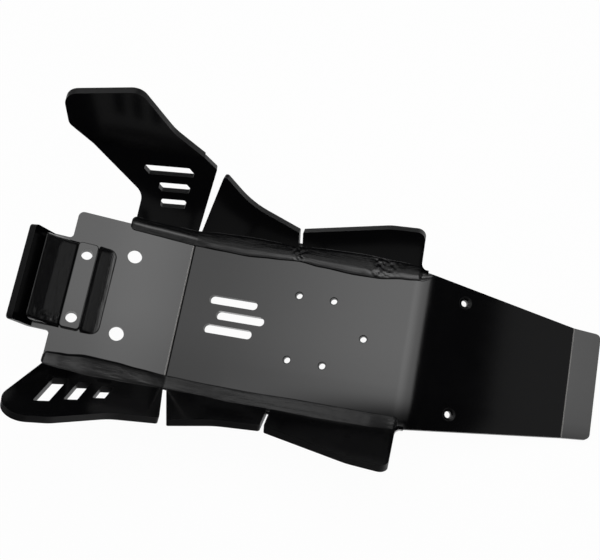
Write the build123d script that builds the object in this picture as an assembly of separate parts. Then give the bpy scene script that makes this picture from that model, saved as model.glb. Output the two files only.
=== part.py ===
from build123d import *
import math
import os

# Motorcycle skid plate: one thick plastic sheet, cut flat, folded and welded along its folds.
# X points to the front of the motorcycle, Y to its left and Z up. The origin is the middle of the base's
# inner face, which is the face that the frame rails sit on. Millimetres and degrees.

# Sheet
SHEET = 8.0

# Base
BASE_LENGTH = 246.0
BASE_WIDTH = 161.0
BASE_HOLE_SHIFT = -1.5
BASE_SLOT_LENGTH = 53.0
BASE_SLOT_WIDTH = 9.5
BASE_SLOT_PITCH = 16.0
BASE_SLOT_START = 27.5
BASE_SLOT_STAGGER = 10.5
DRAIN_HOLE_DIAMETER = 7.0
DRAIN_PITCH_LONG = 37.5
DRAIN_PITCH_WIDE = 70.0
DRAIN_START = 122.5
DRAIN_CHAMFER = 0.8

# Front panel, which rises from the front fold
FRONT_RISE = 20.0
FRONT_LENGTH = 128.5
FREE_EDGE_SETBACK = 0.5
FRONT_CORNER_RADIUS = 6.0
FRONT_WING_CORNER_RADIUS = 2.0
NECK_WIDTH = 101.0
NECK_SHIFT = 1.0
NECK_RADIUS = 4.0
FRAME_HOLE_DIAMETER = 15.5
FRAME_HOLE_SHIFT = -3.0
FRAME_HOLE_SPACING = 85.5
FRAME_HOLE_START = 61.0
FOLD_FACET_WIDTH = 2.7
FOLD_FACET_DEPTH = 0.5

# Front lip, which stands up from the neck
LIP_ANGLE = 75.0
LIP_FOLD_START = 147.0
LIP_HEIGHT = 31.5
LIP_CORNER_RADIUS = 4.0

# Spacer strip on the front panel
STRIP_LENGTH = 92.0
STRIP_WIDTH = 21.0
STRIP_HEIGHT = 8.0
STRIP_START = 99.5
STRIP_CORNER_RADIUS = 4.0
STRIP_EDGE_ROUND = 1.0
STRIP_SHIFT = 0.0
CLAMP_HOLE_DIAMETER = 12.0
CLAMP_HOLE_SPACING = 68.0

# Tail and its flat tip
TAIL_DROP = 15.0
TAIL_LENGTH = 166.0
TAIL_BEND_RADIUS = 100.0
TAIL_BEND_SETBACK = 7.5
TAIL_ROOT_WIDTH = 168.5
TAIL_END_WIDTH = 117.0
TIP_LENGTH = 28.0
TIP_WIDTH = 111.5
TIP_BEND_RADIUS = 5.0
TIP_CORNER_RADIUS = 6.0
TAIL_HOLE_DIAMETER = 7.0
TAIL_HOLE_RECESS = 14.0
TAIL_HOLE_RECESS_DEPTH = 3.0
TAIL_HOLE_SHIFT = -0.5
TAIL_HOLE_SPACING = 118.5
TAIL_HOLE_START = 44.0

# Side wings, folded up along both sides. Outlines are (along the fold, up the wing, corner radius), with
# the front fold at 0 and the front of the motorcycle positive.
WING_FLARE = 50.0
ROOT_STRIP = 10.0
RIGHT_WING_FRONT = 69.0
LEFT_WING_FRONT = 123.0
WING_REAR = 1.0 - BASE_LENGTH
REAR_WEB_RADIUS = 6.0
REAR_WEB_LAP = 2.0
RIGHT_FRONT_WING = [
    (RIGHT_WING_FRONT, 0.0, 0.0),
    (RIGHT_WING_FRONT, 41.0, 18.0),
    (154.8, 104.7, 12.0),
    (164.2, 141.9, 15.0),
    (93.5, 167.2, 15.0),
    (52.0, 124.4, 60.0),
    (1.0, 91.8, 2.0),
    (1.0, 0.0, 0.0),
]
RIGHT_MIDDLE_WING = [
    (-1.5, 0.0, 0.0),
    (-31.8, 84.8, 3.0),
    (-60.5, 53.0, 90.0),
    (-113.0, 28.5, 1.5),
    (-113.0, 0.0, 0.0),
]
RIGHT_REAR_WING = [
    (-117.0, 0.0, 0.0),
    (-117.0, 29.2, 1.5),
    (-208.0, 49.5, 40.0),
    (WING_REAR, 51.0, 9.0),
    (WING_REAR, 0.0, 0.0),
]
LEFT_FRONT_WING = [
    (LEFT_WING_FRONT, 0.0, 0.0),
    (167.3, 106.8, 23.0),
    (103.4, 92.8, 40.0),
    (49.8, 67.8, 60.0),
    (1.5, 59.4, 3.0),
    (1.5, 0.0, 0.0),
]
LEFT_MIDDLE_WING = [
    (-1.5, 0.0, 0.0),
    (-22.5, 60.4, 2.0),
    (-68.0, 46.0, 80.0),
    (-113.0, 41.0, 3.0),
    (-113.5, 0.0, 0.0),
]
LEFT_REAR_WING = [
    (-117.0, 0.0, 0.0),
    (-117.2, 42.0, 3.0),
    (-205.0, 66.4, 60.0),
    (WING_REAR, 70.6, 9.0),
    (WING_REAR, 0.0, 0.0),
]

# Second bend across the tall right front wing
HORN_BEND = 15.0
HORN_BEND_REAR_HEIGHT = 104.0
HORN_BEND_SLOPE = 8.5

# Slots in the right front wing, shorter towards the fold, each with two opposite corners cut off
RIGHT_SLOT_LENGTHS = [26.0, 32.0, 51.0]
RIGHT_SLOT_CORNERS = [2.5, 4.5, 6.5]
RIGHT_SLOT_WIDTH = 11.0
RIGHT_SLOT_PITCH = 20.4
RIGHT_SLOT_REAR = 22.3
RIGHT_SLOT_HEIGHT = 34.4
RIGHT_SLOT_SLOPE = 11.5
RIGHT_SLOT_RADIUS = 1.8

# Slanted slots in the left front wing, longer and wider towards the front
LEFT_SLOT_HEIGHTS = [22.5, 33.0, 43.0]
LEFT_SLOT_WIDTHS = [12.0, 13.0, 15.0]
LEFT_SLOT_PITCH = 22.6
LEFT_SLOT_REAR = 51.2
LEFT_SLOT_BASE = 24.0
LEFT_SLOT_STEP = 1.0
LEFT_SLOT_SLANT = 16.0
LEFT_SLOT_SLOPE = 16.0
LEFT_SLOT_RADIUS = 1.2

# Weld beads
SEAM_BASE_LEG = 7.0
SEAM_WING_LEG = 9.5
SEAM_CROWN = 1.2
SEAM_MELT = 0.4
SEAM_RIGHT_OVERRUN = 2.0
SEAM_LEFT_OVERRUN = 4.0
SEAM_REAR_MARGIN = 2.0
LIP_BEAD_LENGTH = 87.0
LIP_BEAD_LEG = 12.0
STRIP_BEAD_LENGTH = 94.0
STRIP_BEAD_WIDTH = 20.0
STRIP_BEAD_HEIGHT = 5.0
BEAD_END_RADIUS = 7.0

RIGHT = -1
LEFT = 1
FRONT_FOLD_X = BASE_LENGTH / 2
WING_END_X = FRONT_FOLD_X + WING_REAR
TAIL_BEND_X = -BASE_LENGTH / 2 - TAIL_BEND_SETBACK
HALF_WIDTH = BASE_WIDTH / 2
THROUGH = 4 * SHEET
REACH = 4 * BASE_WIDTH
MITRE_OVERRUN = 3 * SHEET


def panel_plane(origin, angle):
    """A plane on a panel's inner face: local x runs forward up the panel, local z is the inner normal."""
    a = math.radians(angle)
    return Plane(
        origin=origin,
        x_dir=(math.cos(a), 0, math.sin(a)),
        z_dir=(-math.sin(a), 0, math.cos(a)),
    )


BASE_PLANE = panel_plane((FRONT_FOLD_X, 0, 0), 0)
FRONT_PLANE = panel_plane((FRONT_FOLD_X, 0, 0), FRONT_RISE)
LIP_PLANE = panel_plane(FRONT_PLANE.from_local_coords((LIP_FOLD_START, 0, 0)), LIP_ANGLE)
TAIL_PLANE = panel_plane((TAIL_BEND_X, 0, 0), TAIL_DROP)


def wing_plane(panel, side):
    """A plane on a wing's inner face: local x runs along the fold, side * local y runs up the wing."""
    a = math.radians(WING_FLARE)
    inner = panel.z_dir * math.cos(a) - panel.y_dir * (side * math.sin(a))
    return Plane(
        origin=panel.from_local_coords((0, side * HALF_WIDTH, 0)),
        x_dir=panel.x_dir,
        z_dir=inner,
    )


def outline_face(points):
    """A flat face from corners given as (x, y, radius)."""
    corners = [(x, y) for x, y, _ in points]
    radii = [radius for _, _, radius in points]
    return make_face(FilletPolyline(*corners, radius=radii, close=True))


def plate(plane, face):
    """A flat face laid on a panel and thickened away from its inner side."""
    return extrude(plane * face, amount=SHEET, dir=-plane.z_dir)


def bend_sector(first, second, corner, axis, length):
    """The rounded outside of a fold: the sheet's thickness swept about the inner fold line."""
    start = corner - first.z_dir * SHEET
    end = corner - second.z_dir * SHEET
    middle = corner - (first.z_dir + second.z_dir).normalized() * SHEET
    edges = [Line(corner, start), ThreePointArc(start, middle, end), Line(end, corner)]
    return extrude(make_face(edges), amount=length, dir=axis)


def wing_bend(panel, side, rear, front):
    """The fold between a panel and its wing, from rear to front along the fold line."""
    corner = panel.from_local_coords((rear, side * HALF_WIDTH, 0))
    return bend_sector(panel, wing_plane(panel, side), corner, panel.x_dir, front - rear)


def through_hole(plane, x, y, diameter):
    """A round cutter across a panel."""
    return plane * Pos(x, y, 0) * Cylinder(diameter / 2, THROUGH)


def tail_crease(depth):
    """The two creases and the end of the tail in side view, at a depth below the inner face."""
    drop = math.radians(TAIL_DROP)
    shift = depth * math.tan(drop / 2)
    crease_x = TAIL_BEND_X - TAIL_LENGTH * math.cos(drop)
    crease_z = -TAIL_LENGTH * math.sin(drop)
    return [
        (TAIL_BEND_X + shift, -depth),
        (crease_x + shift, crease_z - depth),
        (crease_x - TIP_LENGTH, crease_z - depth),
    ]


def core_profile():
    """Side view of base, tail and tip, with both bends."""
    top = [(FRONT_FOLD_X, 0)] + tail_crease(0)
    bottom = [(FRONT_FOLD_X, -SHEET)] + tail_crease(SHEET)
    radii = [0, TAIL_BEND_RADIUS, TIP_BEND_RADIUS, 0]
    radii += [0, TIP_BEND_RADIUS + SHEET, TAIL_BEND_RADIUS - SHEET, 0]
    corners = top + bottom[::-1]
    return make_face(Plane.XZ * FilletPolyline(*corners, radius=radii, close=True))


def core_plan():
    """Plan of base, tail and tip."""
    crease_x = TAIL_BEND_X - TAIL_LENGTH * math.cos(math.radians(TAIL_DROP))
    half = [
        (FRONT_FOLD_X, HALF_WIDTH, 0),
        (WING_END_X, HALF_WIDTH, 0),
        (WING_END_X, TAIL_ROOT_WIDTH / 2, 0),
        (crease_x, TAIL_END_WIDTH / 2, 0),
        (crease_x - TIP_LENGTH, TIP_WIDTH / 2, TIP_CORNER_RADIUS),
    ]
    mirrored = [(x, -y, radius) for x, y, radius in half[::-1]]
    return outline_face(half + mirrored)


def base_cutters():
    """The three slots and the five small holes of the base."""
    cutters = []
    for row in (-1, 0, 1):
        start = BASE_SLOT_START + (BASE_SLOT_STAGGER if row == 0 else 0)
        middle = -start - BASE_SLOT_LENGTH / 2
        slot = SlotOverall(BASE_SLOT_LENGTH, BASE_SLOT_WIDTH)
        slot_plane = BASE_PLANE * Pos(middle, BASE_HOLE_SHIFT + row * BASE_SLOT_PITCH, 0)
        cutters.append(extrude(slot_plane * slot, amount=THROUGH, both=True))
    for x, y in drain_places():
        cutters.append(through_hole(BASE_PLANE, x, y, DRAIN_HOLE_DIAMETER))
        cone = Cone(DRAIN_HOLE_DIAMETER / 2, DRAIN_HOLE_DIAMETER / 2 + DRAIN_CHAMFER, DRAIN_CHAMFER)
        cutters.append(BASE_PLANE * Pos(x, y, -DRAIN_CHAMFER / 2) * cone)
    return cutters


def drain_places():
    """Two pairs of holes and one on the middle line behind them."""
    pairs = [
        (-DRAIN_START - row * DRAIN_PITCH_LONG, BASE_HOLE_SHIFT + side * DRAIN_PITCH_WIDE / 2)
        for row in (0, 1)
        for side in (RIGHT, LEFT)
    ]
    return pairs + [(-DRAIN_START - 2 * DRAIN_PITCH_LONG, BASE_HOLE_SHIFT)]


def tail_cutters():
    """The two recessed screw holes of the tail."""
    cutters = []
    radius = TAIL_HOLE_DIAMETER / 2
    for side in (RIGHT, LEFT):
        y = TAIL_HOLE_SHIFT + side * TAIL_HOLE_SPACING / 2
        cutters.append(through_hole(TAIL_PLANE, -TAIL_HOLE_START, y, TAIL_HOLE_DIAMETER))
        cone = Cone(radius, TAIL_HOLE_RECESS / 2, TAIL_HOLE_RECESS_DEPTH)
        cutters.append(TAIL_PLANE * Pos(-TAIL_HOLE_START, y, -TAIL_HOLE_RECESS_DEPTH / 2) * cone)
    return cutters


def core():
    """Base, tail and tip as one folded strip."""
    span = TAIL_ROOT_WIDTH + BASE_WIDTH
    strip = extrude(core_profile(), amount=span, both=True)
    prism = extrude(core_plan(), amount=TAIL_LENGTH, both=True)
    solid = strip & prism
    for cutter in base_cutters() + tail_cutters():
        solid -= cutter
    return solid


def front_outline():
    """Front panel and neck, up to the lip fold."""
    edge = HALF_WIDTH - FREE_EDGE_SETBACK
    neck_right = NECK_SHIFT - NECK_WIDTH / 2
    neck_left = NECK_SHIFT + NECK_WIDTH / 2
    return [
        (0, -HALF_WIDTH, 0),
        (seam_front_end(RIGHT), -HALF_WIDTH, 0),
        (seam_front_end(RIGHT), -edge, 0),
        (FRONT_LENGTH, -edge, FRONT_CORNER_RADIUS),
        (FRONT_LENGTH, neck_right, NECK_RADIUS),
        (LIP_FOLD_START, neck_right, 0),
        (LIP_FOLD_START, neck_left, 0),
        (FRONT_LENGTH, neck_left, NECK_RADIUS),
        (FRONT_LENGTH, HALF_WIDTH, FRONT_WING_CORNER_RADIUS),
        (0, HALF_WIDTH, 0),
    ]


def frame_holes():
    """Cutters for the two large holes of the front panel."""
    return [
        through_hole(
            FRONT_PLANE,
            FRAME_HOLE_START,
            FRAME_HOLE_SHIFT + side * FRAME_HOLE_SPACING / 2,
            FRAME_HOLE_DIAMETER,
        )
        for side in (RIGHT, LEFT)
    ]


def strip_middle():
    """Where the spacer strip's middle line lies on the front panel."""
    return STRIP_START + STRIP_WIDTH / 2


def clamp_holes():
    """Cutters for the two holes on the spacer strip's middle line."""
    return [
        through_hole(
            FRONT_PLANE,
            strip_middle(),
            STRIP_SHIFT + side * CLAMP_HOLE_SPACING / 2,
            CLAMP_HOLE_DIAMETER,
        )
        for side in (RIGHT, LEFT)
    ]


def fold_facet():
    """The shallow step that the closed groove leaves along the front fold."""
    corners = [(0, 0), (FOLD_FACET_WIDTH, 0), (0, -FOLD_FACET_DEPTH)]
    profile = make_face(Plane.XZ * Polyline(*corners, close=True))
    bar = extrude(profile, amount=HALF_WIDTH, both=True)
    return FRONT_PLANE * bar


def front_panel():
    """Front panel with its four holes, its fold and the upright lip."""
    solid = plate(FRONT_PLANE, outline_face(front_outline()))
    corner = BASE_PLANE.from_local_coords((0, -HALF_WIDTH, 0))
    solid += bend_sector(BASE_PLANE, FRONT_PLANE, corner, Vector(0, 1, 0), BASE_WIDTH)
    for cutter in frame_holes() + clamp_holes():
        solid -= cutter
    return solid - fold_facet()


def front_lip():
    """The upright lip with its fold."""
    right_edge = NECK_SHIFT - NECK_WIDTH / 2
    left_edge = NECK_SHIFT + NECK_WIDTH / 2
    outline = [
        (0, right_edge, 0),
        (LIP_HEIGHT, right_edge, LIP_CORNER_RADIUS),
        (LIP_HEIGHT, left_edge, LIP_CORNER_RADIUS),
        (0, left_edge, 0),
    ]
    corner = FRONT_PLANE.from_local_coords((LIP_FOLD_START, right_edge, 0))
    bend = bend_sector(FRONT_PLANE, LIP_PLANE, corner, Vector(0, 1, 0), NECK_WIDTH)
    return plate(LIP_PLANE, outline_face(outline)) + bend


def wing(panel, side, outline):
    """One wing standing on its panel's side edge, with its fold."""
    face = outline_face([(x, side * y, radius) for x, y, radius in outline])
    bend = wing_bend(panel, side, outline[-1][0], outline[0][0])
    return plate(wing_plane(panel, side), face) + bend


def rear_web(side):
    """The concave corner that runs from a rear wing's end into the tail's side edge."""
    panel = panel_plane((WING_END_X, 0, 0), TAIL_DROP / 4)
    rear = -REAR_WEB_RADIUS - REAR_WEB_LAP
    edge = TAIL_ROOT_WIDTH / 2
    high = edge + 2 * REAR_WEB_RADIUS
    plan = [
        (WING_END_X + REAR_WEB_LAP, 0, 0),
        (WING_END_X + rear, 0, 0),
        (WING_END_X + rear, side * edge, 0),
        (WING_END_X, side * edge, REAR_WEB_RADIUS),
        (WING_END_X, side * high, 0),
        (WING_END_X + REAR_WEB_LAP, side * high, 0),
    ]
    root = Pos((rear + REAR_WEB_LAP) / 2, side * REAR_WEB_RADIUS) * Rectangle(
        REAR_WEB_LAP - rear, 2 * REAR_WEB_RADIUS
    )
    corner = plate(wing_plane(panel, side), root) + wing_bend(panel, side, rear, REAR_WEB_LAP)
    return corner & extrude(outline_face(plan), amount=THROUGH, both=True)


def root_strip(side, outline_front, outline_rear):
    """The low strip that joins two wings below the slit between them."""
    front, rear = outline_front[-1][0], outline_rear[0][0]
    middle = Pos((front + rear) / 2, side * ROOT_STRIP / 2)
    face = middle * Rectangle(front - rear, ROOT_STRIP)
    bend = wing_bend(BASE_PLANE, side, rear, front)
    return plate(wing_plane(BASE_PLANE, side), face) + bend


def horn_bend_plane(angle):
    """A plane through the second bend line, turned about it by an angle from the wing's own plane."""
    flat = wing_plane(FRONT_PLANE, RIGHT)
    slope = math.radians(HORN_BEND_SLOPE)
    line = flat.x_dir * math.cos(slope) + flat.y_dir * math.sin(slope)
    across = line.cross(flat.z_dir)
    origin = flat.from_local_coords((0, RIGHT * HORN_BEND_REAR_HEIGHT, 0))
    turn = math.radians(angle)
    normal = flat.z_dir * math.cos(turn) + across * math.sin(turn)
    return Plane(origin=origin, x_dir=line, z_dir=normal)


def right_front_wing():
    """The tall right front wing, whose upper part is bent steeper."""
    flat = wing(FRONT_PLANE, RIGHT, RIGHT_FRONT_WING)
    for cutter in right_slot_cutters():
        flat -= cutter
    before = horn_bend_plane(0)
    after = horn_bend_plane(-HORN_BEND)
    upper_box = before * Pos(0, -REACH / 2, 0) * Box(REACH, REACH, REACH)
    upper = flat & upper_box
    lower = flat - upper_box
    axis = Axis(before.origin, before.x_dir)
    upper = upper.rotate(axis, -HORN_BEND)
    start = before.origin - before.x_dir * REACH
    wedge = bend_sector(before, after, start, before.x_dir, 2 * REACH)
    outline = outline_face([(x, RIGHT * y, radius) for x, y, radius in RIGHT_FRONT_WING])
    wing_prism = extrude(wing_plane(FRONT_PLANE, RIGHT) * outline, amount=THROUGH, both=True)
    return lower + (wedge & wing_prism) + upper


def right_slot_cutters():
    """Three slots that step up the right front wing, in line at the rear."""
    plane = wing_plane(FRONT_PLANE, RIGHT)
    fall = math.tan(math.radians(RIGHT_SLOT_SLOPE))
    cutters = []
    for row, (length, cut) in enumerate(zip(RIGHT_SLOT_LENGTHS, RIGHT_SLOT_CORNERS)):
        low = RIGHT_SLOT_HEIGHT + row * RIGHT_SLOT_PITCH
        high = low + RIGHT_SLOT_WIDTH
        front = RIGHT_SLOT_REAR + length
        corners = [
            (RIGHT_SLOT_REAR, low),
            (front - cut, low - (length - cut) * fall),
            (front, low - length * fall + cut),
            (front, high - length * fall),
            (RIGHT_SLOT_REAR + cut, high - cut * fall),
            (RIGHT_SLOT_REAR, high - cut),
        ]
        face = outline_face([(x, RIGHT * y, RIGHT_SLOT_RADIUS) for x, y in corners])
        cutters.append(extrude(plane * face, amount=THROUGH, both=True))
    return cutters


def left_slot_cutters():
    """Three slanted slots in the left front wing, in line along the fold."""
    plane = wing_plane(FRONT_PLANE, LEFT)
    lean = math.tan(math.radians(LEFT_SLOT_SLANT))
    slope = math.tan(math.radians(LEFT_SLOT_SLOPE))
    cutters = []
    for row, (height, width) in enumerate(zip(LEFT_SLOT_HEIGHTS, LEFT_SLOT_WIDTHS)):
        rear = LEFT_SLOT_REAR + row * LEFT_SLOT_PITCH
        low = LEFT_SLOT_BASE + row * LEFT_SLOT_STEP
        top = rear + height * lean
        rise = width * slope
        corners = [
            (rear, low),
            (rear + width, low + rise),
            (top + width, low + height + rise),
            (top, low + height),
        ]
        face = outline_face([(x, y, LEFT_SLOT_RADIUS) for x, y in corners])
        cutters.append(extrude(plane * face, amount=THROUGH, both=True))
    return cutters


def skid_sheet():
    """The whole folded sheet as one solid."""
    left_front = wing(FRONT_PLANE, LEFT, LEFT_FRONT_WING)
    for cutter in left_slot_cutters():
        left_front -= cutter
    solid = core() + front_panel() + front_lip()
    solid += right_front_wing()
    solid += left_front
    for outline in (RIGHT_MIDDLE_WING, RIGHT_REAR_WING):
        solid += wing(BASE_PLANE, RIGHT, outline)
    for outline in (LEFT_MIDDLE_WING, LEFT_REAR_WING):
        solid += wing(BASE_PLANE, LEFT, outline)
    solid += root_strip(RIGHT, RIGHT_MIDDLE_WING, RIGHT_REAR_WING)
    solid += root_strip(LEFT, LEFT_MIDDLE_WING, LEFT_REAR_WING)
    for side in (RIGHT, LEFT):
        solid += rear_web(side)
        solid -= side_weld(side)
    return solid


def spacer_strip():
    """The raised strip on the front panel, with the two clamp holes."""
    face = RectangleRounded(STRIP_WIDTH, STRIP_LENGTH, STRIP_CORNER_RADIUS)
    place = FRONT_PLANE * Pos(strip_middle(), STRIP_SHIFT, 0)
    solid = extrude(place * face, amount=STRIP_HEIGHT, dir=FRONT_PLANE.z_dir)
    top = solid.faces().sort_by(Axis(FRONT_PLANE.origin, FRONT_PLANE.z_dir))[-1]
    solid = fillet(top.edges(), STRIP_EDGE_ROUND)
    for cutter in clamp_holes():
        solid -= cutter
    return solid


def seam_front_end(side):
    """Where a side weld ends on the front panel, a little beyond the wing."""
    if side == RIGHT:
        return RIGHT_WING_FRONT + SEAM_RIGHT_OVERRUN
    return LEFT_WING_FRONT + SEAM_LEFT_OVERRUN


def seam_section(panel, side, x):
    """Section of a side weld: a crowned fillet between panel and wing, melted a little into both."""
    inward = HALF_WIDTH - SEAM_BASE_LEG
    wing_side = wing_plane(panel, side)
    panel_toe = panel.from_local_coords((x, side * inward, 0))
    wing_toe = wing_side.from_local_coords((x, side * SEAM_WING_LEG, 0))
    corner = panel.from_local_coords((x, side * HALF_WIDTH, 0))
    outward = (panel.z_dir + wing_side.z_dir).normalized()
    crown = (panel_toe + wing_toe) * 0.5 + outward * SEAM_CROWN
    edges = [
        ThreePointArc(panel_toe, crown, wing_toe),
        Line(wing_toe, wing_toe - wing_side.z_dir * SEAM_MELT),
        Line(wing_toe - wing_side.z_dir * SEAM_MELT, corner - outward * SEAM_MELT),
        Line(corner - outward * SEAM_MELT, panel_toe - panel.z_dir * SEAM_MELT),
        Line(panel_toe - panel.z_dir * SEAM_MELT, panel_toe),
    ]
    return make_face(edges)


def side_weld(side):
    """The weld along one side: over the front panel, across the front fold and along the base."""
    front_end = seam_front_end(side)
    rear_end = WING_REAR + SEAM_REAR_MARGIN
    front_section = seam_section(FRONT_PLANE, side, -MITRE_OVERRUN)
    base_section = seam_section(BASE_PLANE, side, rear_end)
    on_front = extrude(front_section, amount=front_end + MITRE_OVERRUN, dir=FRONT_PLANE.x_dir)
    on_base = extrude(base_section, amount=MITRE_OVERRUN - rear_end, dir=BASE_PLANE.x_dir)
    mitre = panel_plane((FRONT_FOLD_X, 0, 0), FRONT_RISE / 2)
    front_half = mitre * Pos(REACH / 2, 0, 0) * Box(REACH, REACH, REACH)
    return (on_front & front_half) + (on_base - front_half)


def lip_weld():
    """The broad weld in the corner between spacer strip and lip."""
    strip_front = STRIP_START + STRIP_WIDTH
    end = NECK_SHIFT - LIP_BEAD_LENGTH / 2
    low = FRONT_PLANE.from_local_coords((strip_front, end, 0))
    corner = FRONT_PLANE.from_local_coords((LIP_FOLD_START, end, 0))
    lip_toe = LIP_PLANE.from_local_coords((LIP_BEAD_LEG, end, 0))
    strip_toe = FRONT_PLANE.from_local_coords((strip_front, end, STRIP_HEIGHT - STRIP_EDGE_ROUND))
    crown = (lip_toe + strip_toe) * 0.5 - Vector(0, 0, SEAM_CROWN)
    edges = [
        Line(low, corner),
        Line(corner, lip_toe),
        ThreePointArc(lip_toe, crown, strip_toe),
        Line(strip_toe, low),
    ]
    return extrude(make_face(edges), amount=LIP_BEAD_LENGTH, dir=Vector(0, 1, 0))


def strip_weld():
    """The flat-crowned weld behind the spacer strip, with round ends."""
    face = RectangleRounded(STRIP_BEAD_WIDTH, STRIP_BEAD_LENGTH, BEAD_END_RADIUS)
    place = FRONT_PLANE * Pos(STRIP_START - STRIP_BEAD_WIDTH / 2, STRIP_SHIFT, 0)
    return extrude(place * face, amount=STRIP_BEAD_HEIGHT, dir=FRONT_PLANE.z_dir)


def main():
    """Build every node and write it."""
    os.makedirs("parts", exist_ok=True)
    nodes = {
        "skid_sheet": skid_sheet(),
        "spacer_strip": spacer_strip(),
        "weld_front_lip": lip_weld(),
        "weld_spacer_rear": strip_weld(),
        "weld_right": side_weld(RIGHT),
        "weld_left": side_weld(LEFT),
    }
    for name, solid in nodes.items():
        export_step(solid, f"parts/{name}.step")


main()
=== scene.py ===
import math

import bmesh
import bpy
from mathutils import Matrix, Vector
from mathutils.bvhtree import BVHTree
from mathutils.kdtree import KDTree


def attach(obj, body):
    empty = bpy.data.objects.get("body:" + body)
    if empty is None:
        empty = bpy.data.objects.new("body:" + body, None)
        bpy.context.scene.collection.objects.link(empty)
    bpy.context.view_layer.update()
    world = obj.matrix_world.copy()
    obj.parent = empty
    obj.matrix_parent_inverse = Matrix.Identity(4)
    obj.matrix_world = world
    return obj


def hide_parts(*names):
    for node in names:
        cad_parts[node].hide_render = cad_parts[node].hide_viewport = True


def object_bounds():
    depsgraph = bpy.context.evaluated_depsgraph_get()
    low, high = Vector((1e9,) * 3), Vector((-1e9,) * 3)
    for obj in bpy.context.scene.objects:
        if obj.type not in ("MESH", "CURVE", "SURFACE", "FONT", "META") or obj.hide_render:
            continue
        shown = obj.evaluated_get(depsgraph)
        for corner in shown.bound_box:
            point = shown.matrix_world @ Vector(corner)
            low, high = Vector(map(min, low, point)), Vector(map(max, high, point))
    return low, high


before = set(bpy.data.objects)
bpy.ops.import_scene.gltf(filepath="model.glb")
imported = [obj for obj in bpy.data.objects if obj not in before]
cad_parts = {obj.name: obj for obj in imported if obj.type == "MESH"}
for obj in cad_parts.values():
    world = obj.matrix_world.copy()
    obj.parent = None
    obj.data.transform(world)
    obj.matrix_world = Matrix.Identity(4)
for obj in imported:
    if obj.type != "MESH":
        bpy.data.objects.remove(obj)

bl_info = {
    "name": "Folded skid plate",
    "version": (1, 0, 0),
    "blender": (4, 5, 0),
    "location": "View3D > Sidebar > Skid plate",
    "description": "Dresses a folded and welded plastic skid plate and sets it on a studio floor",
    "category": "Object",
}

MM = 0.001
CAD_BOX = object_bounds()

# The sheet's own lay-out, in millimetres, as the solid has it
SHEET = 8.0
HALF_WIDTH = 80.5
FOLD_X = 123.0
FRONT_RISE = math.radians(20)
WING_FLARE = math.radians(50)
LIP_FOLD = 147.0
STRIP_REAR = 99.5
STRIP_FRONT = 120.5
TIP_CREASE_X = -290.8

# The sheet's skin, in millimetres: the rolls' long wave and fine grain, and how high each stands
WAVE_LENGTH = 22.0
WAVE_HEIGHT = 0.02
GRAIN_SIZE = 0.7
GRAIN_HEIGHT = 0.01
SKIN_ROUGHNESS = (0.09, 0.13)
# The hollow beside the left weld: from where to where it deepens, across and along the base, and its depth
HOLLOW_ACROSS = (HALF_WIDTH - 38, HALF_WIDTH + 4)
HOLLOW_ALONG = (FOLD_X - 235, FOLD_X - 60)
HOLLOW_DEPTH = 7.0
# The tail's bend, which is shaded a little sharper than the solid: its reach along X, and by how much
BEND_ALONG = (-150, -115)
BEND_HEIGHT = 1.2
# The two creases, along which a paler line is painted as their highlight: where they lie on X, the line's
# half width, and where it stops short of the sides
CREASES_X = (FOLD_X + 2.2, TIP_CREASE_X)
CREASE_HALF_WIDTH = 0.6
CREASE_END = HALF_WIDTH - 1
# The cutter's chatter on the sheet's edges, in millimetres, and how dull they are
CHATTER_SIZE = 1.6
CHATTER_HEIGHT = 0.05
EDGE_ROUGHNESS = 0.42
EDGE_GLOSS = 0.27
# The welds' fine streaks: how many to a millimetre along and across a bead, and their height
FINE_STREAKS = (0.05, 1.1)
FINE_STREAK_HEIGHT = 0.25
WELD_ROUGHNESS = (0.14, 0.24)
POLYETHYLENE_IOR = 1.54

# Taking a solid's skin over, in millimetres: which points are one, and how far its normals are looked for
ONE_POINT = 0.002
NORMAL_REACH = 0.01
# A face is skin if it lies along its flat piece, or has the sheet's thickness and little more behind it
ALONG_PIECE = 0.9
SKIN_DEPTH = 1.06 * SHEET
RAY_START = 0.05
RAY_REACH = 200.0

# Toes of the side beads: place along the fold, from the front fold at 0, and distance from the fold
RIGHT_PANEL_TOE = [
    (73, 6.5), (66, 7.2), (42, 7.5), (20, 7.9), (0, 8.2), (-30, 9.5), (-59, 10.7), (-87, 9.2), (-115, 7.6),
    (-139, 10.2), (-179, 12.7), (-200, 12.6), (-230, 9.2), (-247, 7.8), (-258, 4.0),
]
RIGHT_WING_TOE = [
    (73, 9.8), (5, 10.5), (-30, 13.0), (-60, 13.5), (-113, 11.5), (-150, 13.5), (-180, 14.0),
    (-220, 11.5), (-243.5, 9.8), (-247, 1.5), (-258, 0.0),
]
LEFT_PANEL_TOE = [
    (129, 7.2), (125, 7.8), (108, 9.0), (86, 11.9), (56, 11.5), (30, 10.0), (2, 8.8), (-48, 7.5), (-90, 7.2),
    (-144, 8.2), (-247, 8.5),
]
LEFT_WING_TOE = [
    (129, 9.8), (110, 12.0), (80, 14.0), (50, 12.5), (10, 10.0), (-35, 13.5), (-75, 17.0), (-110, 15.5),
    (-160, 16.5), (-215, 15.0), (-243.5, 9.9), (-247, 2.0),
]
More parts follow.
